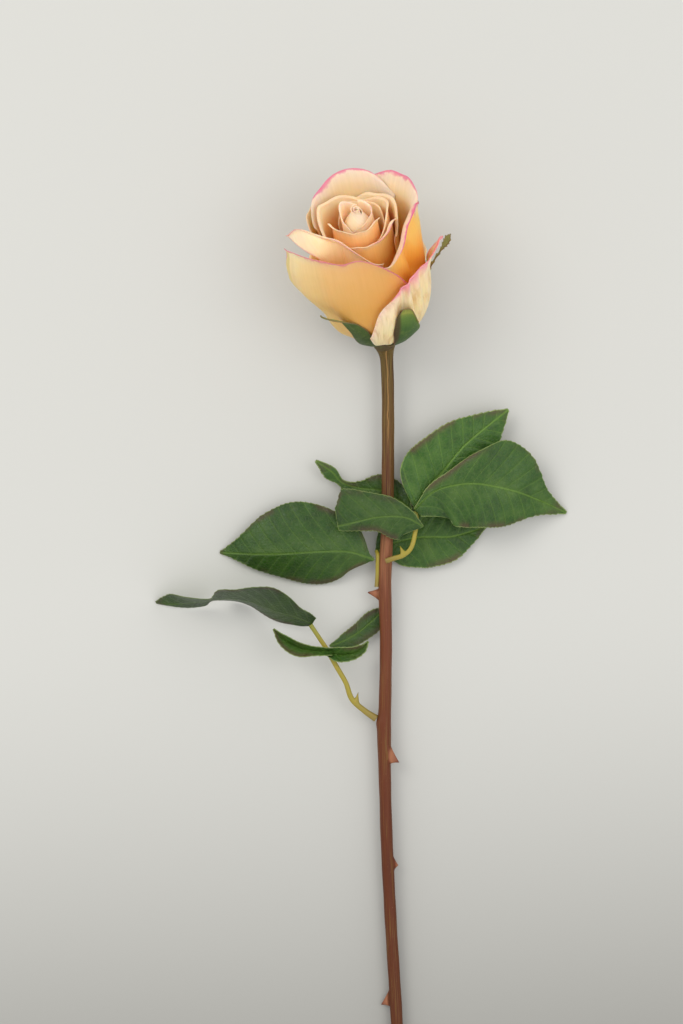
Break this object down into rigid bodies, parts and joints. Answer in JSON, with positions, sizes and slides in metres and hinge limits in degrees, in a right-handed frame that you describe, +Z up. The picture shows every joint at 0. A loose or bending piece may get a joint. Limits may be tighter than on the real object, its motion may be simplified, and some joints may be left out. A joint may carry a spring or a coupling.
{
  "type": "cut rose",
  "caption": "Single cut rose lying on its side: half-open bloom of layered petals with rolled rims, green sepals, thorny stem and serrated compound leaves.",
  "frame": {"origin": "middle of the footprint of the lying rose, on the surface it lies on", "axes": "+Y along the stem towards the bloom, +X to the right seen from above, +Z up from the surface"},
  "size_m": [0.1666, 0.3968, 0.0639],
  "materials": {
    "petal": "satin",
    "sepal": "matte",
    "stem": "satin",
    "leaf": "satin",
    "leaf_stalk": "satin"
  },
  "bodies": {
    "root": {"leaf_a_behind": "leaf", "leaf_a_front": "leaf", "leaf_a_right": "leaf", "leaf_a_upper": "leaf", "leaf_b_behind": "leaf", "leaf_b_left": "leaf", "leaf_c_end": "leaf", "leaf_c_left": "leaf", "leaf_c_low": "leaf", "leaf_c_upper": "leaf", "petal_back": "petal", "petal_back_right": "petal", "petal_bud_core": "petal", "petal_bud_left": "petal", "petal_bud_right": "petal", "petal_fold_right": "petal", "petal_front": "petal", "petal_heart_back": "petal", "petal_heart_front": "petal", "petal_mid_left": "petal", "petal_outer_back": "petal", "petal_outer_left": "petal", "petal_outer_right": "petal", "petal_ring_back": "petal", "petal_ring_front": "petal", "petal_ring_left": "petal", "petal_ring_right": "petal", "petal_tongue": "petal", "receptacle": "sepal", "sepal_back": "sepal", "sepal_front": "sepal", "sepal_left": "sepal", "sepal_right": "sepal", "sepal_under": "sepal", "stalk_a": "leaf_stalk", "stalk_b": "leaf_stalk", "stalk_c": "leaf_stalk", "stem": "stem"}
  },
  "joints": []
}
